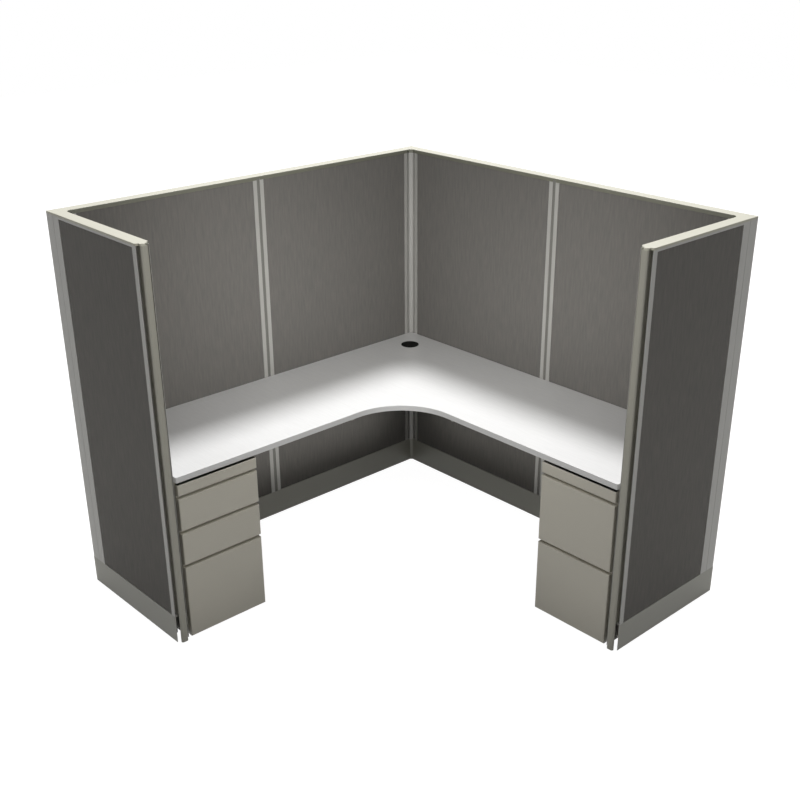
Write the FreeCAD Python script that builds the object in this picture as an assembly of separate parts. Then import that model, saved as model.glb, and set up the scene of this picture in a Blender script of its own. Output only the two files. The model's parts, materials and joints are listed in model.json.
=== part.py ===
import FreeCAD, Part
import math
import os

# Cubicle workstation in millimetres, +Z up. The origin is on the floor, under the middle of the
# square of panels. The back corner of the L is at -X +Y, and the user sits towards +X -Y.

# Panels
panel_width = 914.4
wing_width = 609.6
panel_thickness = 55.0
overall_height = 1676.4

# Panel frames: steel tubes, with stiles as wide as the end that they stand at needs
tube_wall = 1.5
post_stile_width = 43.0
joint_stile_width = 28.0
trim_stile_width = 24.0
reveal_width = 8.0
reveal_depth = 5.0
seal_thickness = 2.0
seal_fit = 0.2
groove_width = 14.0
groove_depth = 16.0
top_rail_height = 8.0
frame_bottom = 66.0

# Fabric tiles
tile_recess = 1.5
tile_edge_radius = 3.0

# Top caps and the strip that they clip to
cap_lip_height = 8.5
cap_wall = 2.0
cap_strip_height = 3.0
cap_fit = 0.3
cap_end_radius = 8.0
corner_cap_leg = 26.0

# Base covers
base_height = 125.0
cover_wall = 1.5
floor_gap = 2.0
corner_cover_leg = 10.0

# Corner posts and the strip in each inner corner
post_corner_radius = 3.0
post_edge_chamfer = 2.5
nose_leg = 12.5

# Wing end trims
trim_width = 30.0
trim_thickness = 10.5
trim_corner_radius = 8.0
trim_nose_radius = 10.0
trim_web_width = 16.0
trim_web_depth = 8.5

# Connector plates under the caps
connector_width = 40.0
connector_reach = 60.0
connector_thickness = 3.0

# Leveling glides
glide_inset = 80.0
glide_foot_radius = 20.0
glide_foot_height = 10.0
glide_stem_radius = 5.0

# Worktop
worktop_height = 736.6
worktop_thickness = 25.4
worktop_depth = 609.6
worktop_fillet = 270.0
worktop_wall_gap = 1.0
worktop_end_gap = 12.0
worktop_core_radius = 3.0
band_thickness = 3.0
band_edge_radius = 1.5

# Cable grommet
grommet_wall_distance = 135.0
grommet_hole_radius = 38.0
grommet_flange_radius = 44.0
grommet_flange_height = 2.0
grommet_wall = 2.0
grommet_cap_thickness = 4.0
grommet_ledge = 2.5
grommet_fit = 0.3

# Worktop brackets
bracket_height = 150.0
bracket_width = 14.0
bracket_thickness = 3.0
bracket_tip_height = 4.0
bracket_setback = 2.0
bracket_screw_shares = (0.2, 0.5, 0.8)
corner_bracket_size = 160.0
corner_bracket_thickness = 3.0
corner_bracket_drop = 60.0
corner_bracket_nose_gap = 10.0
corner_screw_shares = (0.62, 0.25)

# Worktop screws
screw_radius = 2.0
screw_head_radius = 4.0
screw_head_height = 2.5
screw_bite = 15.0
screw_fit = 0.3

# Pedestals
pedestal_width = 376.0
pedestal_end_inset = 1.0
pedestal_floor_gap = 3.0
pedestal_front_reach = 5.0
case_wall = 1.2
case_wall_gap = 34.5
case_rear_space = 60.0
case_screw_inset = 50.0
case_rail_depth = 12.0
case_glide_radius = 15.0
case_glide_inset = 40.0

# Drawer fronts
front_thickness = 18.0
front_wall = 2.0
front_edge_radius = 5.0
front_edge_limit_share = 3
front_gap = 0.5
front_floor_gap = 2.0
pull_gap = 12.7
box_front_height = 143.3
header_height = 47.5
header_clearance = 9.5

# Drawer boxes
drawer_wall = 1.5
drawer_rise = 12.0
drawer_top_clearance = 24.0
file_rail_width = 4.0
file_rail_height = 10.0

# Ball slides: three flat members side by side at each side of a drawer
slide_space = 12.7
slide_gap = 0.3
slide_height = 45.0
slide_rise = 20.0
slide_setback = 2.0
slide_step_share = 0.1
slide_lip_share = 0.25

# How far a cut runs past the face that it opens, and how close two places count as the same
overrun = 5.0
tolerance = 0.001

quarter_turn = 90
up = FreeCAD.Vector(0, 0, 1)

# Places that several pieces share
half = panel_thickness + panel_width
cap_bottom = overall_height - cap_lip_height
tile_top = cap_bottom - top_rail_height
worktop_underside = worktop_height - worktop_thickness
wall_x = -half + panel_thickness
wall_y = half - panel_thickness
worktop_end_x = half - panel_thickness - worktop_end_gap
worktop_end_y = -half + panel_thickness + worktop_end_gap
case_front = front_thickness + front_gap
front_line = worktop_depth + pedestal_front_reach
case_depth = front_line - case_front - case_wall_gap
case_back = case_front + case_depth
slide_length = case_depth - case_rear_space
slide_start = case_front + slide_setback
slide_thickness = (slide_space - 2 * slide_gap) / 3
header_bottom = worktop_underside - header_clearance - header_height
file_front_height = header_bottom - front_floor_gap - 3 * pull_gap - 2 * box_front_height
tall_front_height = 2 * box_front_height + pull_gap

stile_widths = {"post": post_stile_width, "joint": joint_stile_width, "trim": trim_stile_width}


def at(x, y, quarters=0):
    return FreeCAD.Placement(FreeCAD.Vector(x, y, 0), FreeCAD.Rotation(up, quarters * quarter_turn))


def moved(shape, place):
    copy = shape.copy()
    copy.Placement = place.multiply(copy.Placement)
    return copy


def mirrored(shape, width):
    return shape.mirror(FreeCAD.Vector(width / 2, 0, 0), FreeCAD.Vector(1, 0, 0))


def box(x0, x1, y0, y1, z0, z1):
    return Part.makeBox(x1 - x0, y1 - y0, z1 - z0, FreeCAD.Vector(x0, y0, z0))


def cylinder(radius, x, y, z0, z1):
    return Part.makeCylinder(radius, z1 - z0, FreeCAD.Vector(x, y, z0))


# A wall of corners, each (x, y, radius), raised from z0 to z1
def prism(corners, z0, z1):
    starts = []
    middles = []
    ends = []
    for index, (x, y, radius) in enumerate(corners):
        here = FreeCAD.Vector(x, y, z0)
        before_x, before_y, _ = corners[index - 1]
        after_x, after_y, _ = corners[(index + 1) % len(corners)]
        back = (FreeCAD.Vector(before_x, before_y, z0) - here).normalize()
        ahead = (FreeCAD.Vector(after_x, after_y, z0) - here).normalize()
        half_angle = back.getAngle(ahead) / 2
        reach = radius / math.tan(half_angle)
        inward = (back + ahead).normalize()
        starts.append(here + back * reach)
        middles.append(here + inward * (radius / math.sin(half_angle) - radius))
        ends.append(here + ahead * reach)
    edges = []
    for index, (_, _, radius) in enumerate(corners):
        if radius > 0:
            edges.append(Part.Arc(starts[index], middles[index], ends[index]).toShape())
        following = starts[(index + 1) % len(corners)]
        if ends[index].distanceToPoint(following) > tolerance:
            edges.append(Part.LineSegment(ends[index], following).toShape())
    return Part.Face(Part.Wire(edges)).extrude(FreeCAD.Vector(0, 0, z1 - z0))


# The same wall of corners, each (x, z, radius), stood upright and run from y0 to y1
def upright(corners, y0, y1):
    solid = prism(corners, 0, y1 - y0)
    turn = FreeCAD.Rotation(FreeCAD.Vector(1, 0, 0), quarter_turn)
    solid.Placement = FreeCAD.Placement(FreeCAD.Vector(0, y1, 0), turn)
    return solid


def edges_at_y(solid, y):
    found = []
    for edge in solid.Edges:
        bounds = edge.BoundBox
        if abs(bounds.YMin - y) < tolerance and abs(bounds.YMax - y) < tolerance:
            found.append(edge)
    return found


def save(name, shapes):
    solids = []
    for shape in shapes:
        solids += shape.Solids
    whole = solids[0] if len(solids) == 1 else Part.makeCompound(solids)
    whole.exportStep("parts/" + name + ".step")


# A panel is drawn with its outer face at y 0 and its inner face at y panel_thickness. The start
# end is at x 0. Each end meets a corner post, the next panel or a wing's end trim.

# A stile at the start end of a panel. At a wing's end it is a channel that opens towards the trim.
def stile(kind):
    width = stile_widths[kind]
    z0 = base_height - overrun
    z1 = cap_bottom + overrun
    inner = panel_thickness
    bore_inner = inner - tube_wall
    tube = box(0, width, 0, inner, base_height, cap_bottom)
    if kind == "joint":
        tube = tube.cut(box(-overrun, reveal_width, -overrun, reveal_depth, z0, z1))
        tube = tube.cut(box(-overrun, reveal_width, inner - reveal_depth, inner + overrun, z0, z1))
        tongue_bore = box(tube_wall, width - tube_wall, reveal_depth + tube_wall,
                          inner - reveal_depth - tube_wall, z0, z1)
        tube = tube.cut(tongue_bore)
        return tube.cut(box(reveal_width + tube_wall, width - tube_wall, tube_wall, bore_inner, z0, z1))
    if kind == "post":
        groove_end = nose_leg + groove_width
        tube = tube.cut(box(nose_leg, groove_end, inner - groove_depth, inner + overrun, z0, z1))
        bore_inner = inner - groove_depth - tube_wall
        for rib_start, rib_end in ((0, nose_leg), (groove_end, width)):
            tube = tube.cut(box(rib_start + tube_wall, rib_end - tube_wall, bore_inner - overrun,
                                inner - tube_wall, z0, z1))
    bore_start = -overrun if kind == "trim" else tube_wall
    return tube.cut(box(bore_start, width - tube_wall, tube_wall, bore_inner, z0, z1))


# A tube along x, open at both ends
def rail(x0, x1, y0, y1, z0, z1):
    bore = box(x0 - overrun, x1 + overrun, y0 + tube_wall, y1 - tube_wall, z0 + tube_wall, z1 - tube_wall)
    return box(x0, x1, y0, y1, z0, z1).cut(bore)


def panel_frame(width, start, end):
    first = stile(start)
    last = mirrored(stile(end), width)
    top = rail(stile_widths[start], width - stile_widths[end], 0, panel_thickness, tile_top, cap_bottom)
    bottom = rail(0, width, cover_wall, panel_thickness - cover_wall, frame_bottom, base_height)
    strip_start = cap_end_radius + cap_fit if start == "trim" else 0
    strip_end = width - cap_end_radius - cap_fit if end == "trim" else width
    side = cap_wall + cap_fit
    strip = box(strip_start, strip_end, side, panel_thickness - side, cap_bottom,
                cap_bottom + cap_strip_height)
    return [first, last, top, bottom, strip]


# Two boards back to back, each with its rounded face just inside the frame's face
def panel_tiles(width, start, end):
    x0 = stile_widths[start]
    x1 = width - stile_widths[end]
    middle = panel_thickness / 2
    tiles = []
    for face, y0, y1 in ((tile_recess, tile_recess, middle),
                         (panel_thickness - tile_recess, middle, panel_thickness - tile_recess)):
        board = box(x0, x1, y0, y1, base_height, tile_top)
        tiles.append(board.makeFillet(tile_edge_radius, edges_at_y(board, face)))
    return tiles


# The nose of a wing's cap at the start end, which covers the trim
def cap_nose():
    reach = trim_web_depth + trim_thickness
    side = (panel_thickness - trim_width) / 2
    radius = min(trim_nose_radius, cap_lip_height)
    profile = [(-reach, cap_bottom, 0), (0, cap_bottom, 0), (0, overall_height, 0),
               (-reach, overall_height, radius)]
    nose = upright(profile, side, side + trim_width)
    plan = [(-reach, side, trim_corner_radius), (0, side, 0), (0, side + trim_width, 0),
            (-reach, side + trim_width, trim_corner_radius)]
    return nose.common(prism(plan, cap_bottom, overall_height))


# The outline of a cap drawn in by a wall, with round corners where it has a closed end
def cap_plan(x0, x1, wall, start, end):
    near_radius = cap_end_radius - wall if start == "trim" else 0
    far_radius = cap_end_radius - wall if end == "trim" else 0
    far_side = panel_thickness - wall
    return [(x0, wall, near_radius), (x1, wall, far_radius), (x1, far_side, far_radius),
            (x0, far_side, near_radius)]


def panel_cap(width, start, end):
    x0 = corner_cap_leg if start == "post" else 0
    x1 = width - corner_cap_leg if end == "post" else width
    cap = prism(cap_plan(x0, x1, 0, start, end), cap_bottom, overall_height)
    inside0 = x0 + cap_wall if start == "trim" else x0 - overrun
    inside1 = x1 - cap_wall if end == "trim" else x1 + overrun
    hollow = cap_plan(inside0, inside1, cap_wall, start, end)
    cap = cap.cut(prism(hollow, cap_bottom - overrun, overall_height - cap_wall))
    if start == "trim":
        cap = cap.fuse(cap_nose())
    if end == "trim":
        cap = cap.fuse(mirrored(cap_nose(), width))
    return [cap.removeSplitter()]


# The outer cover runs on across a corner post, and one of the two covers there stops at the other
def base_covers(width, start, end):
    outer_start = cover_wall - panel_thickness if start == "post" else 0
    outer_end = width + panel_thickness if end == "post" else width
    outer = box(outer_start, outer_end, 0, cover_wall, floor_gap, base_height)
    inner = box(0, width, panel_thickness - cover_wall, panel_thickness, floor_gap, base_height)
    return [outer, inner]


def leveling_glides(width):
    glides = []
    for x in (glide_inset, width - glide_inset):
        y = panel_thickness / 2
        foot = cylinder(glide_foot_radius, x, y, 0, glide_foot_height)
        stem = cylinder(glide_stem_radius, x, y, glide_foot_height, frame_bottom)
        glides.append(foot.fuse(stem))
    return glides


# A wing's end trim at the start end: a bar down to the floor on a web that reaches into the stile
def end_trim():
    middle = panel_thickness / 2
    side = middle - trim_width / 2
    back = -trim_web_depth
    front = back - trim_thickness
    near = middle - trim_web_width / 2
    far = near + trim_web_width
    web = box(back, trim_stile_width - tube_wall, near, far, base_height, cap_bottom)
    foot_web = box(back, 0, near, far, frame_bottom, base_height)
    plan = [(front, side, trim_corner_radius), (back, side, 0), (back, side + trim_width, 0),
            (front, side + trim_width, trim_corner_radius)]
    return prism(plan, floor_gap, cap_bottom).fuse(web).fuse(foot_web).removeSplitter()


# The soft seals in the reveals of a joint, drawn in the frame of the panel that starts there. The
# one on the room's side leaves the worktop's bracket free.
def joint_seals():
    side = reveal_width - seal_fit
    outer = reveal_depth - seal_thickness
    inner = panel_thickness - reveal_depth
    heights = ((base_height, worktop_underside - bracket_height - seal_fit),
               (worktop_underside + seal_fit, cap_bottom))
    seals = [box(-side, side, outer, reveal_depth, base_height, cap_bottom)]
    for z0, z1 in heights:
        seals.append(box(-side, side, inner, inner + seal_thickness, z0, z1))
    return seals


# A corner is drawn with the meeting point of the two inner faces at x 0, y 0. The room is at
# +x +y, the panels run along +x and +y, and the post fills the square at -x -y.

def corner_post():
    side = -panel_thickness
    chamfer = post_edge_chamfer
    plan = [(side, side, post_corner_radius), (-chamfer, side, 0), (0, side + chamfer, 0), (0, 0, 0),
            (side + chamfer, 0, 0), (side, -chamfer, 0)]
    bore_side = side + tube_wall
    bore_corner = (bore_side, bore_side, max(post_corner_radius - tube_wall, 0))
    bore = [bore_corner, (-tube_wall - chamfer, bore_side, 0), (-tube_wall, bore_side + chamfer, 0),
            (-tube_wall, -tube_wall, 0), (bore_side + chamfer, -tube_wall, 0),
            (bore_side, -tube_wall - chamfer, 0)]
    tube = prism(plan, base_height, cap_bottom)
    tube = tube.cut(prism(bore, base_height - overrun, cap_bottom + overrun))
    foot_side = side + cover_wall
    foot = box(foot_side, 0, foot_side, 0, frame_bottom, base_height)
    foot_bore = box(foot_side + tube_wall, -tube_wall, foot_side + tube_wall, -tube_wall,
                    frame_bottom - overrun, base_height + overrun)
    return [tube, foot.cut(foot_bore)]


def corner_triangle(leg, z0, z1):
    return prism([(0, 0, 0), (leg, 0, 0), (0, leg, 0)], z0, z1)


def corner_cap():
    side = -panel_thickness
    leg = corner_cap_leg
    plan = [(side, side, post_corner_radius), (leg, side, 0), (leg, 0, 0), (nose_leg, 0, 0),
            (0, nose_leg, 0), (0, leg, 0), (side, leg, 0)]
    inside = side + cap_wall
    end = leg + overrun
    hollow = [(inside, inside, 0), (end, inside, 0), (end, -cap_wall, 0), (-cap_wall, -cap_wall, 0),
              (-cap_wall, end, 0), (inside, end, 0)]
    cap = prism(plan, cap_bottom, overall_height)
    return cap.cut(prism(hollow, cap_bottom - overrun, overall_height - cap_wall))


def corner_connector():
    near = -panel_thickness / 2 - connector_width / 2
    far = near + connector_width
    end = connector_reach
    plan = [(near, near, 0), (end, near, 0), (end, far, 0), (far, far, 0), (far, end, 0), (near, end, 0)]
    bottom = cap_bottom + cap_strip_height
    return prism(plan, bottom, bottom + connector_thickness)


# A connector at the line between two panels, drawn in the frame of the panel that starts there
def joint_connector():
    near = panel_thickness / 2 - connector_width / 2
    bottom = cap_bottom + cap_strip_height
    return box(-connector_reach, connector_reach, near, near + connector_width, bottom,
               bottom + connector_thickness)


# The corners of the worktop. inset draws the front and the ends in, spread pushes the back out.
def worktop_plan(inset, spread):
    back_x = wall_x + worktop_wall_gap - spread
    back_y = wall_y - worktop_wall_gap + spread
    front_x = wall_x + worktop_depth - inset
    front_y = wall_y - worktop_depth + inset
    end_x = worktop_end_x - inset
    end_y = worktop_end_y + inset
    corner = worktop_core_radius + band_thickness - inset
    return [(back_x, back_y - nose_leg, 0), (back_x, end_y + nose_leg, 0), (back_x + nose_leg, end_y, 0),
            (front_x, end_y, corner), (front_x, front_y, worktop_fillet + inset), (end_x, front_y, corner),
            (end_x, back_y - nose_leg, 0), (end_x - nose_leg, back_y, 0), (back_x + nose_leg, back_y, 0)]


grommet_x = wall_x + grommet_wall_distance
grommet_y = wall_y - grommet_wall_distance

left_wall_bracket = at(wall_x, 0)
back_wall_bracket = at(0, wall_y, -1)
back_corner = at(wall_x, wall_y, -1)
left_pedestal = at(wall_x + front_line, worktop_end_y + pedestal_end_inset, 1)
right_pedestal = at(worktop_end_x - pedestal_end_inset - pedestal_width, wall_y - front_line)


def screw_hole(x, y, seat):
    top = worktop_underside + screw_bite + screw_fit
    return cylinder(screw_radius + screw_fit, x, y, seat - overrun, top)


# Places of the screws that rise into the worktop, each (x, y, height of the face under the head)
def screw_places():
    places = []
    reach = worktop_depth - bracket_setback
    for bracket in (left_wall_bracket, back_wall_bracket):
        for share in bracket_screw_shares:
            spot = bracket.multVec(FreeCAD.Vector(reach * share, bracket_thickness / 2, 0))
            places.append((spot.x, spot.y, worktop_underside - bracket_tip_height))
    near_share, far_share = corner_screw_shares
    for x_share, y_share in ((near_share, far_share), (far_share, near_share)):
        corner_spot = FreeCAD.Vector(corner_bracket_size * x_share, corner_bracket_size * y_share, 0)
        spot = back_corner.multVec(corner_spot)
        places.append((spot.x, spot.y, worktop_underside - corner_bracket_thickness))
    for pedestal in (left_pedestal, right_pedestal):
        for x in (case_screw_inset, pedestal_width - case_screw_inset):
            for y in (case_front + case_screw_inset, case_back - case_screw_inset):
                spot = pedestal.multVec(FreeCAD.Vector(x, y, 0))
                places.append((spot.x, spot.y, worktop_underside - case_wall))
    return places


def drilled(shape):
    for x, y, seat in screw_places():
        shape = shape.cut(screw_hole(x, y, seat))
    return shape


def worktop():
    top = prism(worktop_plan(band_thickness, 0), worktop_underside, worktop_height)
    hole = cylinder(grommet_hole_radius, grommet_x, grommet_y, worktop_underside - overrun,
                    worktop_height + overrun)
    return drilled(top.cut(hole))


# Whether an edge lies level on the front or an end of the worktop, clear of the walls
def banded(edge):
    middle = edge.valueAt((edge.FirstParameter + edge.LastParameter) / 2)
    level = edge.BoundBox.ZLength < tolerance
    off_left_wall = middle.x - wall_x > nose_leg + worktop_wall_gap
    off_back_wall = wall_y - middle.y > nose_leg + worktop_wall_gap
    return level and off_left_wall and off_back_wall


def worktop_edge_band():
    whole = prism(worktop_plan(0, 0), worktop_underside, worktop_height)
    whole = whole.makeFillet(band_edge_radius, [edge for edge in whole.Edges if banded(edge)])
    core = prism(worktop_plan(band_thickness, overrun), worktop_underside - overrun,
                 worktop_height + overrun)
    return whole.cut(core)


def grommet_sleeve():
    radius = grommet_hole_radius - grommet_fit
    cap_hole = radius - grommet_wall
    flange_top = worktop_height + grommet_flange_height
    cap_seat = flange_top - grommet_cap_thickness
    tube = cylinder(radius, grommet_x, grommet_y, worktop_underside, worktop_height)
    flange = cylinder(grommet_flange_radius, grommet_x, grommet_y, worktop_height, flange_top)
    bore = cylinder(cap_hole - grommet_ledge, grommet_x, grommet_y, worktop_underside - overrun,
                    worktop_height)
    mouth = cylinder(cap_hole, grommet_x, grommet_y, cap_seat, flange_top + overrun)
    return tube.fuse(flange).cut(bore).cut(mouth)


def grommet_cap():
    radius = grommet_hole_radius - grommet_fit - grommet_wall - grommet_fit
    flange_top = worktop_height + grommet_flange_height
    return cylinder(radius, grommet_x, grommet_y, flange_top - grommet_cap_thickness, flange_top)


# An angle that stands out from the wall along +x: a thin web, a flange under the worktop and a
# plate in the reveal between the two stiles
def cantilever_bracket():
    back = -reveal_depth
    tip = worktop_depth - bracket_setback
    side = -bracket_width / 2
    flange_bottom = worktop_underside - bracket_tip_height
    foot = worktop_underside - bracket_height
    profile = [(back, foot, 0), (0, foot, 0), (tip, flange_bottom, 0), (tip, worktop_underside, 0),
               (back, worktop_underside, 0)]
    web = upright(profile, side, side + bracket_thickness)
    flange = box(back, tip, side, side + bracket_width, flange_bottom, worktop_underside)
    plate = box(back, back + bracket_thickness, side, side + bracket_width, foot, worktop_underside)
    return web.fuse(flange).fuse(plate).removeSplitter()


def corner_bracket():
    size = corner_bracket_size
    near = nose_leg + corner_bracket_nose_gap
    wall = corner_bracket_thickness
    foot = worktop_underside - corner_bracket_drop
    plan = [(near, 0, 0), (size, 0, 0), (0, size, 0), (0, near, 0)]
    plate = prism(plan, worktop_underside - wall, worktop_underside)
    x_flange = box(near, size, 0, wall, foot, worktop_underside)
    y_flange = box(0, wall, near, size, foot, worktop_underside)
    bracket = plate.fuse(x_flange).fuse(y_flange)
    return bracket.removeSplitter()


def worktop_screw(x, y, seat):
    head = cylinder(screw_head_radius, x, y, seat - screw_head_height, seat)
    shank = cylinder(screw_radius, x, y, seat, worktop_underside + screw_bite)
    return head.fuse(shank)


# A pedestal is drawn with its front face at y 0 and its depth along +y, x from 0 to its width.

# The bottom of each drawer front, from the lowest up
def front_bottoms(heights):
    bottoms = []
    bottom = front_floor_gap
    for height in heights:
        bottoms.append(bottom)
        bottom += height + pull_gap
    return bottoms


def pedestal_case(heights):
    inner_x = pedestal_width - case_wall
    floor = pedestal_floor_gap + case_wall
    ceiling = worktop_underside - case_wall
    pieces = [
        box(0, pedestal_width, case_front, case_back, pedestal_floor_gap, floor),
        box(0, pedestal_width, case_front, case_back, ceiling, worktop_underside),
        box(0, case_wall, case_front, case_back, floor, ceiling),
        box(inner_x, pedestal_width, case_front, case_back, floor, ceiling),
        box(case_wall, inner_x, case_back - case_wall, case_back, floor, ceiling),
    ]
    for bottom, height in zip(front_bottoms(heights), heights):
        top = bottom + height
        pieces.append(box(case_wall, inner_x, case_front, case_front + case_rail_depth, top, top + pull_gap))
    return pieces


def case_glides():
    glides = []
    for x in (case_glide_inset, pedestal_width - case_glide_inset):
        for y in (case_front + case_glide_inset, case_back - case_glide_inset):
            glides.append(cylinder(case_glide_radius, x, y, 0, pedestal_floor_gap))
    return glides


# A pan with a rounded face and an open back
def pan(bottom, height, depth):
    radius = min(front_edge_radius, front_wall * front_edge_limit_share)
    body = box(0, pedestal_width, 0, depth, bottom, bottom + height)
    body = body.makeFillet(radius, edges_at_y(body, 0))
    return body.cut(box(front_wall, pedestal_width - front_wall, front_wall, depth + overrun,
                        bottom + front_wall, bottom + height - front_wall))


# The fixed rail over the drawers: a pan whose top is open behind its rounded edge
def header_rail():
    mouth = box(front_wall, pedestal_width - front_wall, front_edge_radius, case_front + overrun,
                header_bottom + front_wall, header_bottom + header_height + overrun)
    return pan(header_bottom, header_height, case_front).cut(mouth)


# One slide member at the left side of the case. order 0 is on the case, 2 on the drawer.
def slide_member(front_bottom, order):
    x0 = case_wall + order * (slide_thickness + slide_gap)
    middle = front_bottom + drawer_rise + slide_rise + slide_height / 2
    reach = slide_height / 2 - order * slide_height * slide_step_share
    lip = slide_thickness * slide_lip_share
    x1 = x0 + slide_thickness
    z0 = middle - reach
    z1 = middle + reach
    profile = [(x0, z0 + lip, 0), (x0 + lip, z0, 0), (x1 - lip, z0, 0), (x1, z0 + lip, 0),
               (x1, z1 - lip, 0), (x1 - lip, z1, 0), (x0 + lip, z1, 0), (x0, z1 - lip, 0)]
    return upright(profile, slide_start, slide_start + slide_length)


def slide_pair(front_bottom, order):
    member = slide_member(front_bottom, order)
    return [member, mirrored(member, pedestal_width)]


def drawer_box(front_bottom, front_height, holds_files):
    x0 = case_wall + slide_space
    x1 = pedestal_width - x0
    y0 = front_thickness
    y1 = slide_start + slide_length
    z0 = front_bottom + drawer_rise
    z1 = front_bottom + front_height - drawer_top_clearance
    wall = drawer_wall
    pieces = [
        box(x0, x1, y0, y1, z0, z0 + wall),
        box(x0, x0 + wall, y0, y1, z0 + wall, z1),
        box(x1 - wall, x1, y0, y1, z0 + wall, z1),
        box(x0 + wall, x1 - wall, y0, y0 + wall, z0 + wall, z1),
        box(x0 + wall, x1 - wall, y1 - wall, y1, z0 + wall, z1),
    ]
    if holds_files:
        for rail_x in (x0 + wall, x1 - wall - file_rail_width):
            pieces.append(box(rail_x, rail_x + file_rail_width, y0 + wall, y1 - wall,
                              z1 - file_rail_height, z1))
    return pieces + slide_pair(front_bottom, 2)


# Each panel: name, width, what its two ends meet, and its place
panels = [
    ("left_rear", panel_width, "post", "joint", at(-half, wall_y, -1)),
    ("left_front", panel_width, "joint", "post", at(-half, wall_y - panel_width, -1)),
    ("back_right", panel_width, "post", "joint", at(half - panel_thickness, half, 2)),
    ("back_left", panel_width, "joint", "post", at(half - panel_thickness - panel_width, half, 2)),
    ("left_wing", wing_width, "post", "trim", at(wall_x, -half)),
    ("right_wing", wing_width, "trim", "post", at(half, wall_y - wing_width, 1)),
]

corners = [back_corner, at(wall_x, -wall_y), at(-wall_x, wall_y, 2)]

# Each drawer: name, front height and whether it holds files, from the lowest up
pedestals = [
    ("left", left_pedestal, [("left_file_drawer", file_front_height, True),
                             ("left_lower_box_drawer", box_front_height, False),
                             ("left_upper_box_drawer", box_front_height, False)]),
    ("right", right_pedestal, [("right_lower_file_drawer", file_front_height, True),
                               ("right_upper_file_drawer", tall_front_height, True)]),
]


def save_panels():
    glides = []
    trims = []
    connectors = []
    seals = []
    for name, width, start, end, place in panels:
        save(name + "_frame", [moved(piece, place) for piece in panel_frame(width, start, end)])
        save(name + "_fabric_tiles", [moved(piece, place) for piece in panel_tiles(width, start, end)])
        save(name + "_top_cap", [moved(piece, place) for piece in panel_cap(width, start, end)])
        save(name + "_base_covers", [moved(piece, place) for piece in base_covers(width, start, end)])
        glides += [moved(glide, place) for glide in leveling_glides(width)]
        if start == "trim":
            trims.append(moved(end_trim(), place))
        if end == "trim":
            trims.append(moved(mirrored(end_trim(), width), place))
        if start == "joint":
            connectors.append(moved(joint_connector(), place))
            seals += [moved(seal, place) for seal in joint_seals()]
    connectors += [moved(corner_connector(), corner) for corner in corners]
    save("leveling_glides", glides)
    save("wing_end_trims", trims)
    save("panel_connector_plates", connectors)
    save("joint_light_seals", seals)


def save_corners():
    posts = []
    for corner in corners:
        posts += [moved(piece, corner) for piece in corner_post()]
    save("corner_posts", posts)
    strip = corner_triangle(nose_leg, base_height, cap_bottom)
    save("inner_corner_strips", [moved(strip, corner) for corner in corners])
    cover = corner_triangle(corner_cover_leg, floor_gap, base_height)
    save("inner_corner_base_covers", [moved(cover, corner) for corner in corners])
    save("corner_top_caps", [moved(corner_cap(), corner) for corner in corners])


def save_worktop():
    save("worktop", [worktop()])
    save("worktop_edge_band", [worktop_edge_band()])
    save("grommet_sleeve", [grommet_sleeve()])
    save("grommet_cap", [grommet_cap()])
    bracket = cantilever_bracket()
    save("cantilever_brackets", [drilled(moved(bracket, left_wall_bracket)),
                                 drilled(moved(bracket, back_wall_bracket))])
    save("corner_bracket", [drilled(moved(corner_bracket(), back_corner))])
    save("worktop_screws", [worktop_screw(x, y, seat) for x, y, seat in screw_places()])


def save_pedestals():
    headers = []
    glides = []
    for side, place, drawers in pedestals:
        heights = [height for _, height, _ in drawers]
        bottoms = front_bottoms(heights)
        case = [drilled(moved(piece, place)) for piece in pedestal_case(heights)]
        save(side + "_pedestal_case", case)
        headers.append(moved(header_rail(), place))
        glides += [moved(glide, place) for glide in case_glides()]
        members = []
        for bottom, (name, height, holds_files) in zip(bottoms, drawers):
            members += [moved(piece, place) for piece in slide_pair(bottom, 0)]
            save(name + "_slides", [moved(piece, place) for piece in slide_pair(bottom, 1)])
            save(name + "_front", [moved(pan(bottom, height, front_thickness), place)])
            save(name + "_box", [moved(piece, place) for piece in drawer_box(bottom, height, holds_files)])
        save(side + "_pedestal_cabinet_slides", members)
    save("pedestal_header_rails", headers)
    save("pedestal_glides", glides)


os.makedirs("parts", exist_ok=True)
save_panels()
save_corners()
save_worktop()
save_pedestals()
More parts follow.
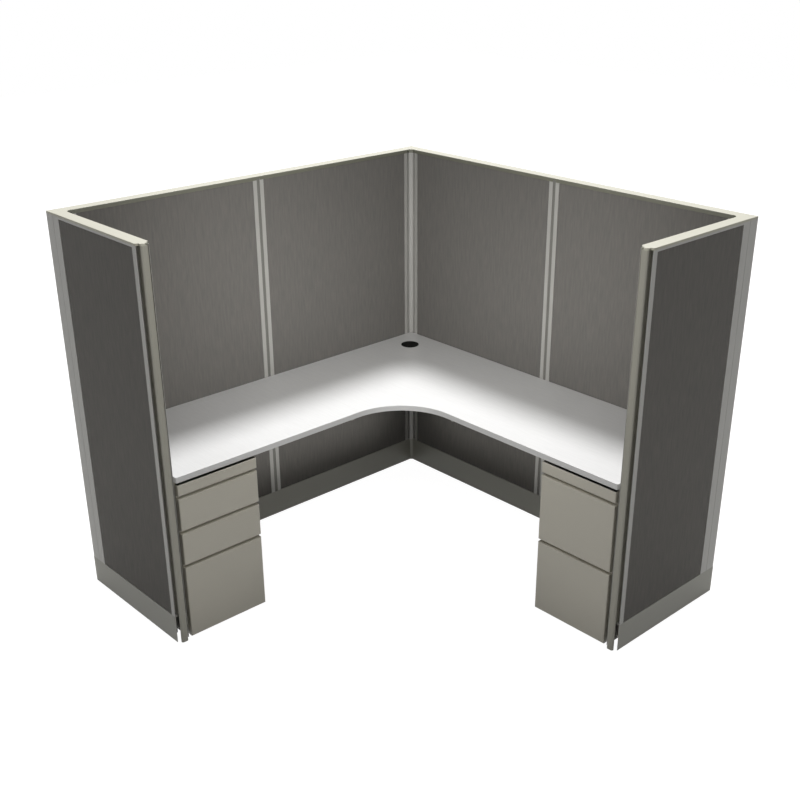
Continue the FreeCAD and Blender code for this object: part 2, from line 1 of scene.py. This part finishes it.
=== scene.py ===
import json
import math
import bmesh
import bpy
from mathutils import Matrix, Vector


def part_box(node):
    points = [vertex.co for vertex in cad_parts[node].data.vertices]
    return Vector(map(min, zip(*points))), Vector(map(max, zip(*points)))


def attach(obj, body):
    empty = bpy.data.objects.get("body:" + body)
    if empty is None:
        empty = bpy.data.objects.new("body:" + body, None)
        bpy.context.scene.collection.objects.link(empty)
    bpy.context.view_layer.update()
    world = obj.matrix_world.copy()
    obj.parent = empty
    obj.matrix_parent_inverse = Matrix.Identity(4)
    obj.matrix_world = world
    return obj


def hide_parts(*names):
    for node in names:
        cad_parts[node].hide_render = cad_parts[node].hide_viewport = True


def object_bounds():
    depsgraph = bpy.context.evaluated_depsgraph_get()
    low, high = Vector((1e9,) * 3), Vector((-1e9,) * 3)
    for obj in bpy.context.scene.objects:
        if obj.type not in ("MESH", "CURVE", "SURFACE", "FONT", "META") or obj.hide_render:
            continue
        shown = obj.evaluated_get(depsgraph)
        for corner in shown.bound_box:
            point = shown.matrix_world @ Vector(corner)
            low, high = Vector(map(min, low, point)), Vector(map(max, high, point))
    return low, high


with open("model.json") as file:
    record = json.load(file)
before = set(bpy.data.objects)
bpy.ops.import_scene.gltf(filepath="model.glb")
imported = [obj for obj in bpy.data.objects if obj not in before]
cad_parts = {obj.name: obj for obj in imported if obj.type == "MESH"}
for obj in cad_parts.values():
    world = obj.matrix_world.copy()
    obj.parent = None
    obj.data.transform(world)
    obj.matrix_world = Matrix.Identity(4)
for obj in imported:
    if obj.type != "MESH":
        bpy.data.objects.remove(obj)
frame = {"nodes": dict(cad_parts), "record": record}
cadBox = [list(corner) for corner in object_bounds()]
print("frame loaded:", len(frame["nodes"]), "nodes")

scene = bpy.context.scene
scene.view_settings.view_transform = "Standard"

mm = 0.001
wallFace = cadBox[1][0]    # the outside of the walls, from the middle of the workstation
overallHeight = cadBox[1][2]

# Sockets of a Mix node set to colours, which share their names with others of the node
mixShare, mixFirst, mixSecond, mixResult = 0, 6, 7, 2


def linearColour(hexText):
    channels = []
    for start in (0, 2, 4):
        value = int(hexText[start:start + 2], 16) / 255
        channels.append(value / 12.92 if value <= 0.04045 else ((value + 0.055) / 1.055) ** 2.4)
    return (*channels, 1.0)


def addNode(tree, kind, settings=None, inputs=None):
    node = tree.nodes.new("ShaderNode" + kind)
    for name, value in (settings or {}).items():
        setattr(node, name, value)
    for key, value in (inputs or {}).items():
        if isinstance(value, bpy.types.NodeSocket):
            tree.links.new(value, node.inputs[key])
        else:
            node.inputs[key].default_value = value
    return node


def startMaterial(name):
    material = bpy.data.materials.new(name)
    material.use_nodes = True
    material.node_tree.nodes.clear()
    return material, material.node_tree


# Camera: 800 x 800 picture, solved from the corners of the workstation
cameraView = {
    "place": (3.19965, -2.91225, 2.73376),
    "yaw": 46.842,
    "pitch": -25.314,
    "focalPixels": 1135.94,
    "centre": (415.61, 446.07),
    "pictureSize": 800,
    "sensor": 36.0,
    "farthest": 100.0,
}


def makeCamera(view):
    data = bpy.data.cameras.new("photoCamera")
    data.sensor_width = view["sensor"]
    data.lens = view["focalPixels"] / view["pictureSize"] * view["sensor"]
    half = view["pictureSize"] / 2
    data.shift_x = (half - view["centre"][0]) / view["pictureSize"]
    data.shift_y = (view["centre"][1] - half) / view["pictureSize"]
    data.clip_end = view["farthest"]
    camera = bpy.data.objects.new("photoCamera", data)
    camera.location = view["place"]
    camera.rotation_euler = (math.radians(90 + view["pitch"]), 0, math.radians(view["yaw"]))
    scene.collection.objects.link(camera)
    scene.camera = camera


makeCamera(cameraView)
print("camera placed")

# Studio: white surroundings for the camera, softer ones for the light they give
studio = {
    "seenColour": "FFFFFF",
    "seenStrength": 1.0,
    "ambientColour": "FFFEFD",
    "ambientStrength": 0.25,
    "floorColour": "B2B2B0",
    "floorWhiteShare": 0.6,
    "floorGlow": 1.63,
    "floorSize": 30.0,
    "lamps": {
        "cornerSoftbox": {"place": (-5.35, 5.35, 13.26), "target": (-0.3, 0.3, 0.74), "size": 3.2,
                          "power": 2340, "colour": "FFFFFF", "spread": 180},
        "entranceSoftbox": {"place": (0.85, -0.85, 2.25), "target": (0.0, 0.0, 0.5), "size": 0.5,
                            "power": 7.6, "colour": "FFFEFB", "spread": 180},
        "leftWallSoftbox": {"place": (0.6, -0.5, 1.9), "target": (-0.91, 0.15, 1.05), "size": 0.35,
                            "power": 2.25, "colour": "FFFEFB", "spread": 75},
        "backWallSoftbox": {"place": (0.5, -0.6, 1.9), "target": (0.02, 0.91, 1.05), "size": 0.35,
                            "power": 1.95, "colour": "FFFEFB", "spread": 75},
        "leftKneeStrip": {"place": (-0.45, 0.1, 0.25), "target": (-0.91, 0.1, 0.38), "size": 1.2,
                          "height": 0.08, "power": 0.4, "colour": "FFFEFB", "spread": 60},
        "backKneeStrip": {"place": (-0.1, 0.45, 0.25), "target": (-0.1, 0.91, 0.38), "size": 1.2,
                          "height": 0.08, "power": 0.28, "colour": "FFFEFB", "spread": 60},
    },
}


def seenDirectly(tree):
    path = addNode(tree, "LightPath")
    seen = path.outputs["Is Camera Ray"]
    for ray in ("Is Glossy Ray", "Is Transmission Ray"):
        seen = addNode(tree, "Math", {"operation": "MAXIMUM"}, {0: seen, 1: path.outputs[ray]}).outputs[0]
    return seen


def makeWorld(settings):
    world = bpy.data.worlds.new("studioWorld")
    world.use_nodes = True
    tree = world.node_tree
    tree.nodes.clear()
    seen = seenDirectly(tree)
    ambient = addNode(tree, "Background", None, {"Color": linearColour(settings["ambientColour"]),
                                                 "Strength": settings["ambientStrength"]})
    backdrop = addNode(tree, "Background", None, {"Color": linearColour(settings["seenColour"]),
                                                  "Strength": settings["seenStrength"]})
    mixed = addNode(tree, "MixShader", None, {0: seen, 1: ambient.outputs[0], 2: backdrop.outputs[0]})
    addNode(tree, "OutputWorld", None, {"Surface": mixed.outputs[0]})
    scene.world = world


def makeFloor(settings):
    mesh = bpy.data.meshes.new("studioFloor")
    shape = bmesh.new()
    bmesh.ops.create_grid(shape, x_segments=1, y_segments=1, size=settings["floorSize"] / 2)
    shape.to_mesh(mesh)
    shape.free()
    floor = bpy.data.objects.new("studioFloor", mesh)
    scene.collection.objects.link(floor)
    material, tree = startMaterial("paperSweep")
    share = addNode(tree, "Math", {"operation": "MULTIPLY"}, {0: seenDirectly(tree),
                                                              1: settings["floorWhiteShare"]})
    paper = addNode(tree, "BsdfDiffuse", None, {"Color": linearColour(settings["floorColour"])})
    glow = addNode(tree, "Emission", None, {"Color": linearColour(settings["seenColour"]),
                                            "Strength": settings["floorGlow"]})
    mixed = addNode(tree, "MixShader", None, {0: share.outputs[0], 1: paper.outputs[0],
                                              2: glow.outputs[0]})
    addNode(tree, "OutputMaterial", None, {"Surface": mixed.outputs[0]})
    mesh.materials.append(material)


def makeLamp(name, lamp):
    data = bpy.data.lights.new(name, "AREA")
    data.shape = "RECTANGLE" if "height" in lamp else "DISK"
    data.size = lamp["size"]
    data.size_y = lamp.get("height", lamp["size"])
    data.spread = math.radians(lamp["spread"])
    data.energy = lamp["power"]
    data.color = linearColour(lamp["colour"])[:3]
    light = bpy.data.objects.new(name, data)
    light.location = lamp["place"]
    light.visible_camera = False
    aim = Vector(lamp["target"]) - Vector(lamp["place"])
    light.rotation_euler = aim.to_track_quat("-Z", "Y").to_euler()
    scene.collection.objects.link(light)


makeWorld(studio)
makeFloor(studio)
for lampName, lamp in studio["lamps"].items():
    makeLamp(lampName, lamp)
print("studio lit")

# Powder-coated steel and aluminium: an even satin coat whose fine orange peel softens the light
# The frame's and the cap's second colour is painted shade, laid on the room's side just under the top
powderCoats = {
    "powderCoatedFrame": {"colour": "BBBAB6", "spread": 0.02, "roughness": 0.42, "peel": 0.10,
                          "capShadeColour": "7C7C6F"},
    "powderCoatedBaseCover": {"colour": "A1A097", "spread": 0.03, "roughness": 0.48, "peel": 0.12,
                              "lowBandColour": "8C8B83"},
    "paintedAluminiumCap": {"colour": "BCBAAB", "spread": 0.02, "roughness": 0.50, "peel": 0.06,
                            "capShadeColour": "7C7C6F"},
    "paintedAluminiumTrim": {"colour": "A6A499", "spread": 0.02, "roughness": 0.38, "peel": 0.06},
    "powderCoatedPedestal": {"colour": "C7C3B7", "spread": 0.02, "roughness": 0.40, "peel": 0.10},
    "enamelledDrawerBox": {"colour": "B0AEA6", "spread": 0.04, "roughness": 0.50, "peel": 0.10},
    "powderCoatedBracket": {"colour": "B4B3AD", "spread": 0.03, "roughness": 0.45, "peel": 0.10},
}
coatSurface = {
    "peelSpacing": 1.6 * mm,      # orange peel, from hump to hump
    "peelHeight": 0.1 * mm,
    "shadeSpacing": 350 * mm,     # slow changes of shade over a sheet
    "darkReach": 2,               # the darker shade lies this many times as far off as the lighter one
    "glossSway": 0.05,
    "ior": 1.5,
    "lowBandTop": 30 * mm,          # the base cover darkens in blotches towards the floor, up to this height
    "lowBandSpacing": 25 * mm,
    "lowBandShare": 0.8,
    "capShadeHeight": 16.5 * mm,     # painted shade on the room's side, over the cap's lip and the rail under it
    "roomSide": -0.35,            # a face farther than this behind the middle, along its own normal,
                                  # looks into the room
}


# Painted shade: picks out the faces that look into the room within the top 16.5 mm (the cap's lip and the
# rail under it), to be darkened as if in shade
def paintedCapShade(tree, place, surface):
    normal = addNode(tree, "NewGeometry").outputs["Normal"]
    level = addNode(tree, "VectorMath", {"operation": "MULTIPLY"}, {0: place, 1: (1, 1, 0)})
    outwards = addNode(tree, "VectorMath", {"operation": "DOT_PRODUCT"}, {0: level.outputs[0], 1: normal})
    inside = addNode(tree, "Math", {"operation": "LESS_THAN"}, {0: outwards.outputs["Value"],
                                                                1: surface["roomSide"]})
    height = addNode(tree, "SeparateXYZ", None, {0: place}).outputs["Z"]
    high = addNode(tree, "Math", {"operation": "GREATER_THAN"}, {0: height,
                                                                 1: overallHeight - surface["capShadeHeight"]})
    both = addNode(tree, "Math", {"operation": "MULTIPLY"}, {0: inside.outputs[0], 1: high.outputs[0]})
    return both.outputs[0]


# Darker in blotches towards the floor, fading out a little above it
def darkerNearFloor(tree, place, surface):
    height = addNode(tree, "SeparateXYZ", None, {0: place}).outputs["Z"]
    blotches = addNode(tree, "TexNoise", None, {"Vector": place, "Scale": 1 / surface["lowBandSpacing"],
                                              "Detail": 4.0})
    low = addNode(tree, "MapRange", None, {"Value": height, "From Min": surface["lowBandTop"],
                                           "From Max": 0.0, "To Min": 0.0, "To Max": surface["lowBandShare"]})
    darkening = addNode(tree, "Math", {"operation": "MULTIPLY"}, {0: low.outputs[0], 1: blotches.outputs["Fac"]})
    return darkening.outputs[0]


def powderCoat(name, coat, surface):
    material, tree = startMaterial(name)
    place = addNode(tree, "TexCoord").outputs["Object"]
    base = Vector(linearColour(coat["colour"])[:3])
    slow = addNode(tree, "TexNoise", None, {"Vector": place, "Scale": 1 / surface["shadeSpacing"],
                                            "Detail": 3.0})
    darker = (*(base * (1 - coat["spread"] * surface["darkReach"])), 1.0)
    lighter = (*(base * (1 + coat["spread"])), 1.0)
    colour = addNode(tree, "Mix", {"data_type": "RGBA"}, {
        mixShare: slow.outputs["Fac"], mixFirst: darker, mixSecond: lighter}).outputs[mixResult]
    # the base cover darkens in blotches towards the floor
    if "lowBandColour" in coat:
        colour = addNode(tree, "Mix", {"data_type": "RGBA"}, {
            mixShare: darkerNearFloor(tree, place, surface), mixFirst: colour,
            mixSecond: linearColour(coat["lowBandColour"])}).outputs[mixResult]
    # Painted shade: the room's side under the cap is darkened
    if "capShadeColour" in coat:
        colour = addNode(tree, "Mix", {"data_type": "RGBA"}, {
            mixShare: paintedCapShade(tree, place, surface), mixFirst: colour,
            mixSecond: linearColour(coat["capShadeColour"])}).outputs[mixResult]
    peel = addNode(tree, "TexNoise", None, {"Vector": place, "Scale": 1 / surface["peelSpacing"],
                                            "Detail": 1.0})
    bump = addNode(tree, "Bump", None, {"Strength": coat["peel"], "Distance": surface["peelHeight"],
                                        "Height": peel.outputs["Fac"]})
    gloss = addNode(tree, "MapRange", None, {"Value": slow.outputs["Fac"],
                                             "To Min": coat["roughness"] - surface["glossSway"],
                                             "To Max": coat["roughness"] + surface["glossSway"]})
    shader = addNode(tree, "BsdfPrincipled", None, {
        "Base Color": colour, "Roughness": gloss.outputs[0], "IOR": surface["ior"],
        "Normal": bump.outputs[0]})
    addNode(tree, "OutputMaterial", None, {"Surface": shader.outputs[0]})
    return material


# Polyester panel cloth, woven with an upright rib: dull, with soft streaks that run up the panel
cloth = {
    "colour": "7B7774",
    "dark": "73726F",
    "light": "7F7C78",
    "ribSpacing": 6 * mm,        # the real rib is 1.5 mm: drawn coarser so that it shows
    "ribShare": 0.35,
    "threadSpacing": 3 * mm,     # coarser than the real threads, like the rib
    "threadShare": 0.15,
    "weaveMiddle": 0.5,
    "weaveDepth": 0.4 * mm,
    "weaveStrength": 0.5,
    "weaveShades": (0.75, 1.25),
    "weaveTint": 0.15,
    "streakWidth": 9 * mm,
    "streakLength": 90 * mm,
    "streakRange": (0.32, 0.68),
    "patchSpacing": 160 * mm,
    "patchRange": (0.35, 0.75),
    "patchTint": 0.25,
    "roughness": 0.95,
    "ior": 1.45,
    "shine": 0.2,
    "fuzz": 0.15,
    "fuzzRoughness": 0.5,
}


def panelCloth(settings):
    material, tree = startMaterial("ribWovenPolyester")
    place = addNode(tree, "UVMap", {"uv_map": "threads"}).outputs[0]
    parts = addNode(tree, "SeparateXYZ", None, {0: place})
    stretched = addNode(tree, "Mapping", None, {"Vector": place, "Scale": (
        1 / settings["streakWidth"], 1 / settings["streakLength"], 1.0)})
    streaks = addNode(tree, "TexNoise", None, {"Vector": stretched.outputs[0], "Scale": 1.0, "Detail": 5.0,
                                               "Roughness": 0.6})
    patches = addNode(tree, "TexNoise", None, {"Vector": place, "Scale": 1 / settings["patchSpacing"],
                                               "Detail": 2.0})
    waves = {}
    for axis, spacing in (("X", settings["ribSpacing"]), ("Y", settings["threadSpacing"])):
        turns = addNode(tree, "Math", {"operation": "MULTIPLY"}, {0: parts.outputs[axis],
                                                                  1: math.tau / spacing})
        waves[axis] = addNode(tree, "Math", {"operation": "SINE"}, {0: turns.outputs[0]}).outputs[0]
    threads = addNode(tree, "Math", {"operation": "MULTIPLY_ADD"}, {
        0: waves["Y"], 1: settings["threadShare"], 2: settings["weaveMiddle"]})
    weave = addNode(tree, "Math", {"operation": "MULTIPLY_ADD"}, {
        0: waves["X"], 1: settings["ribShare"], 2: threads.outputs[0]})
    streaked = addNode(tree, "MapRange", None, {
        "Value": streaks.outputs["Fac"], "From Min": settings["streakRange"][0],
        "From Max": settings["streakRange"][1]})
    tone = addNode(tree, "Mix", {"data_type": "RGBA"}, {
        mixShare: streaked.outputs[0], mixFirst: linearColour(settings["dark"]),
        mixSecond: linearColour(settings["light"])})
    shades = addNode(tree, "MapRange", None, {
        "Value": weave.outputs[0], "To Min": settings["weaveShades"][0],
        "To Max": settings["weaveShades"][1]})
    woven = addNode(tree, "Mix", {"data_type": "RGBA", "blend_type": "MULTIPLY"}, {
        mixShare: settings["weaveTint"], mixFirst: tone.outputs[mixResult], mixSecond: shades.outputs[0]})
    patchy = addNode(tree, "MapRange", None, {
        "Value": patches.outputs["Fac"], "From Min": settings["patchRange"][0],
        "From Max": settings["patchRange"][1], "To Min": 0.0, "To Max": settings["patchTint"]})
    faded = addNode(tree, "Mix", {"data_type": "RGBA"}, {
        mixShare: patchy.outputs[0], mixFirst: woven.outputs[mixResult],
        mixSecond: linearColour(settings["colour"])})
    bump = addNode(tree, "Bump", None, {"Strength": settings["weaveStrength"],
                                        "Distance": settings["weaveDepth"], "Height": weave.outputs[0]})
    shader = addNode(tree, "BsdfPrincipled", None, {
        "Base Color": faded.outputs[mixResult], "Roughness": settings["roughness"],
        "IOR": settings["ior"], "Specular IOR Level": settings["shine"], "Sheen Weight": settings["fuzz"],
        "Sheen Roughness": settings["fuzzRoughness"], "Normal": bump.outputs[0]})
    addNode(tree, "OutputMaterial", None, {"Surface": shader.outputs[0]})
    return material


# High-pressure laminate: white decor paper with a faint streaky print under a satin melamine face
laminate = {
    "colour": "DADADA",
    "streakColour": "D4D4D4",
    "streakWidth": 5 * mm,
    "streakLength": 90 * mm,
    "streakRange": (0.35, 0.7),
    "grainSpacing": 2.2 * mm,    # the real pressed grain is about 0.5 mm: drawn coarser so that it shows
    "grainHeight": 0.1 * mm,
    "grainStrength": 0.15,
    "roughness": 0.34,
    "glossSway": 0.06,
    "ior": 1.5,
}


def laminateSheet(settings):
    material, tree = startMaterial("whiteMelamineLaminate")
    place = addNode(tree, "TexCoord").outputs["Object"]
    stretched = addNode(tree, "Mapping", None, {"Vector": place, "Scale": (
        1 / settings["streakLength"], 1 / settings["streakWidth"], 1 / settings["streakWidth"])})
    streaks = addNode(tree, "TexNoise", None, {"Vector": stretched.outputs[0], "Scale": 1.0, "Detail": 4.0,
                                               "Roughness": 0.65})
    grain = addNode(tree, "TexNoise", None, {"Vector": place, "Scale": 1 / settings["grainSpacing"],
                                             "Detail": 2.0})
    streaked = addNode(tree, "MapRange", None, {
        "Value": streaks.outputs["Fac"], "From Min": settings["streakRange"][0],
        "From Max": settings["streakRange"][1]})
    printed = addNode(tree, "Mix", {"data_type": "RGBA"}, {
        mixShare: streaked.outputs[0], mixFirst: linearColour(settings["colour"]),
        mixSecond: linearColour(settings["streakColour"])})
    bump = addNode(tree, "Bump", None, {"Strength": settings["grainStrength"],
                                        "Distance": settings["grainHeight"],
                                        "Height": grain.outputs["Fac"]})
    gloss = addNode(tree, "MapRange", None, {"Value": grain.outputs["Fac"],
                                             "To Min": settings["roughness"] - settings["glossSway"],
                                             "To Max": settings["roughness"] + settings["glossSway"]})
    shader = addNode(tree, "BsdfPrincipled", None, {
        "Base Color": printed.outputs[mixResult], "Roughness": gloss.outputs[0], "IOR": settings["ior"],
        "Normal": bump.outputs[0]})
    addNode(tree, "OutputMaterial", None, {"Surface": shader.outputs[0]})
    return material


# Moulded and extruded plastics: even colour, with the fine grain of the mould. The real grain is about
# 0.2 mm and is drawn coarser so that it shows.
plastics = {
    "extrudedPvcEdgeBand": {"colour": "DADADA", "roughness": 0.38, "grain": 1.2 * mm, "bump": 0.12,
                            "shine": 0.5},
    "mouldedBlackAbs": {"colour": "060606", "roughness": 0.6, "grain": 0.8 * mm, "bump": 0.25,
                        "shine": 0.1},
    "mouldedGlideNylon": {"colour": "262626", "roughness": 0.55, "grain": 1.0 * mm, "bump": 0.2,
                          "shine": 0.5},
    "extrudedVinylSeal": {"colour": "7E7D78", "roughness": 0.62, "grain": 1.0 * mm, "bump": 0.15,
                          "shine": 0.5},
}
mouldSurface = {
    "grainTones": (0.95, 1.04),
    "grainHeight": 0.1 * mm,
    "glossSway": 0.05,
    "ior": 1.5,
}


def mouldedPlastic(name, plastic, surface):
    material, tree = startMaterial(name)
    place = addNode(tree, "TexCoord").outputs["Object"]
    base = Vector(linearColour(plastic["colour"])[:3])
    grain = addNode(tree, "TexNoise", None, {"Vector": place, "Scale": 1 / plastic["grain"], "Detail": 2.0})
    darker, lighter = [(*(base * tone), 1.0) for tone in surface["grainTones"]]
    tone = addNode(tree, "Mix", {"data_type": "RGBA"}, {
        mixShare: grain.outputs["Fac"], mixFirst: darker, mixSecond: lighter})
    bump = addNode(tree, "Bump", None, {"Strength": plastic["bump"], "Distance": surface["grainHeight"],
                                        "Height": grain.outputs["Fac"]})
    gloss = addNode(tree, "MapRange", None, {"Value": grain.outputs["Fac"],
                                             "To Min": plastic["roughness"] - surface["glossSway"],
                                             "To Max": plastic["roughness"] + surface["glossSway"]})
    shader = addNode(tree, "BsdfPrincipled", None, {
        "Base Color": tone.outputs[mixResult], "Roughness": gloss.outputs[0], "IOR": surface["ior"],
        "Specular IOR Level": plastic["shine"], "Normal": bump.outputs[0]})
    addNode(tree, "OutputMaterial", None, {"Surface": shader.outputs[0]})
    return material


# Zinc-plated steel: pale blue-grey metal with fine drawing lines and a cloudy spangle
zinc = {
    "colour": "C9CBCC",
    "shadow": "A3A6A9",
    "cloudSpacing": 18 * mm,
    "lineSpacing": 1.2 * mm,     # the real lines are finer than 0.1 mm: drawn coarser so that they show
    "lineLength": 50 * mm,
    "lineHeight": 0.1 * mm,
    "lineStrength": 0.12,
    "roughness": (0.25, 0.43),
}


def zincPlate(settings):
    material, tree = startMaterial("zincPlatedSteel")
    place = addNode(tree, "TexCoord").outputs["Object"]
    cloud = addNode(tree, "TexNoise", None, {"Vector": place, "Scale": 1 / settings["cloudSpacing"],
                                             "Detail": 3.0})
    stretched = addNode(tree, "Mapping", None, {"Vector": place, "Scale": (
        1 / settings["lineLength"], 1 / settings["lineLength"], 1 / settings["lineSpacing"])})
    lines = addNode(tree, "TexNoise", None, {"Vector": stretched.outputs[0], "Scale": 1.0, "Detail": 2.0})
    tone = addNode(tree, "Mix", {"data_type": "RGBA"}, {
        mixShare: cloud.outputs["Fac"], mixFirst: linearColour(settings["shadow"]),
        mixSecond: linearColour(settings["colour"])})
    bump = addNode(tree, "Bump", None, {"Strength": settings["lineStrength"],
                                        "Distance": settings["lineHeight"],
                                        "Height": lines.outputs["Fac"]})
    gloss = addNode(tree, "MapRange", None, {"Value": cloud.outputs["Fac"],
                                             "To Min": settings["roughness"][0],
                                             "To Max": settings["roughness"][1]})
    shader = addNode(tree, "BsdfPrincipled", None, {
        "Base Color": tone.outputs[mixResult], "Metallic": 1.0, "Roughness": gloss.outputs[0],
        "Normal": bump.outputs[0]})
    addNode(tree, "OutputMaterial", None, {"Surface": shader.outputs[0]})
    return material


finishes = {name: powderCoat(name, coat, coatSurface) for name, coat in powderCoats.items()}
finishes.update({name: mouldedPlastic(name, plastic, mouldSurface) for name, plastic in plastics.items()})
finishes["ribWovenPolyester"] = panelCloth(cloth)
finishes["whiteMelamineLaminate"] = laminateSheet(laminate)
finishes["zincPlatedSteel"] = zincPlate(zinc)
print("finishes mixed:", len(finishes))

# The finish of each slot of the record
slotFinish = {
    "frame_paint": "powderCoatedFrame",
    "tile_fabric": "ribWovenPolyester",
    "cap_paint": "paintedAluminiumCap",
    "base_paint": "powderCoatedBaseCover",
    "trim_paint": "paintedAluminiumTrim",
    "pedestal_paint": "powderCoatedPedestal",
    "drawer_paint": "enamelledDrawerBox",
    "worktop_laminate": "whiteMelamineLaminate",
    "edge_band_plastic": "extrudedPvcEdgeBand",
    "black_plastic": "mouldedBlackAbs",
    "bracket_paint": "powderCoatedBracket",
    "zinc_steel": "zincPlatedSteel",
    "glide_plastic": "mouldedGlideNylon",
    "seal_vinyl": "extrudedVinylSeal",
}
for subpart in frame["record"]["subparts"]:
    mesh = frame["nodes"][subpart["node"]].data
    mesh.materials.clear()
    mesh.materials.append(finishes[slotFinish[subpart["material_slot"]]])
print("finishes laid on")

# Caps: the CAD pieces' own form, with the long edges of their tops rounded as on a drawn profile
capShape = {
    "edgeRadius": 3 * mm,
    "edgeSegments": 3,
    "wallThickness": 55 * mm,
    "nearWallFace": 1 * mm,
    "uprightNormal": 0.5,
    "mergeDistance": 0.01 * mm,
    "flatAngle": math.radians(1),
}
capNodes = [name for name in frame["nodes"] if name.endswith("_top_cap")] + ["corner_top_caps"]


def onLongEdge(edge, top, settings):
    if any(abs(vert.co.z - top) > settings["mergeDistance"] for vert in edge.verts):
        return False
    sides = [face for face in edge.link_faces if abs(face.normal.z) < settings["uprightNormal"]]
    if len(edge.link_faces) != 2 or len(sides) != 1:
        return False
    reach = ((edge.verts[0].co + edge.verts[1].co) / 2).dot(sides[0].normal)
    onInside = abs(abs(reach) - (wallFace - settings["wallThickness"])) < settings["nearWallFace"]
    return onInside or abs(reach - wallFace) < settings["nearWallFace"]


def makeRoundedCap(node, settings):
    shape = bmesh.new()
    shape.from_mesh(frame["nodes"][node].data)
    bmesh.ops.remove_doubles(shape, verts=shape.verts, dist=settings["mergeDistance"])
    bmesh.ops.dissolve_limit(shape, angle_limit=settings["flatAngle"], verts=shape.verts, edges=shape.edges)
    top = max(vert.co.z for vert in shape.verts)
    edges = [edge for edge in shape.edges if onLongEdge(edge, top, settings)]
    bmesh.ops.bevel(shape, geom=edges, offset=settings["edgeRadius"], segments=settings["edgeSegments"],
                    profile=0.5, affect="EDGES", material=-1)
    name = "rounded_" + node
    mesh = bpy.data.meshes.new(name)
    shape.to_mesh(mesh)
    shape.free()
    mesh.materials.clear()
    mesh.materials.append(finishes["paintedAluminiumCap"])
    cap = bpy.data.objects.new(name, mesh)
    scene.collection.objects.link(cap)
    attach(cap, "workstation")
    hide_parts(node)
    print(name, "edges rounded:", len(edges), "faces:", len(mesh.polygons))


for node in capNodes:
    makeRoundedCap(node, capShape)
print("caps rounded")

# Fabric tiles: a cloth-wrapped board on each side of a panel, with softly rounded edges
tileShape = {
    "edgeRadius": 3 * mm,
    "edgeSegments": 4,
    "onFace": 0.001 * mm,
}
tiledPanels = ["left_rear", "left_front", "back_right", "back_left", "left_wing", "right_wing"]


def makeTiles(panel, settings):
    low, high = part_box(panel + "_fabric_tiles")
    size = high - low
    across = 0 if size.x < size.y else 1
    along = 1 - across
    middle = (low + high) / 2
    shape = bmesh.new()
    uv = shape.loops.layers.uv.new("threads")
    for side in (-1, 1):
        board = bmesh.ops.create_cube(shape, size=1.0)["verts"]
        scale = Vector(size)
        scale[across] = size[across] / 2
        bmesh.ops.scale(shape, verts=board, vec=scale)
        centre = Vector(middle)
        centre[across] = middle[across] + side * size[across] / 4
        bmesh.ops.translate(shape, verts=board, vec=centre)
        face = middle[across] + side * size[across] / 2
        rim = [edge for edge in shape.edges
               if all(abs(vert.co[across] - face) < settings["onFace"] for vert in edge.verts)]
        bmesh.ops.bevel(shape, geom=rim, offset=settings["edgeRadius"], segments=settings["edgeSegments"],
                        profile=0.5, affect="EDGES", material=-1)
    shape.normal_update()
    for item in shape.faces:
        for loop in item.loops:
            loop[uv].uv = (loop.vert.co[along], loop.vert.co.z)
    name = "clothTiles_" + panel
    mesh = bpy.data.meshes.new(name)
    shape.to_mesh(mesh)
    shape.free()
    for polygon in mesh.polygons:
        polygon.use_smooth = False
    mesh.materials.append(finishes["ribWovenPolyester"])
    tiles = bpy.data.objects.new(name, mesh)
    scene.collection.objects.link(tiles)
    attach(tiles, "workstation")
    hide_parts(panel + "_fabric_tiles")


for panel in tiledPanels:
    makeTiles(panel, tileShape)
print("fabric tiles wrapped")
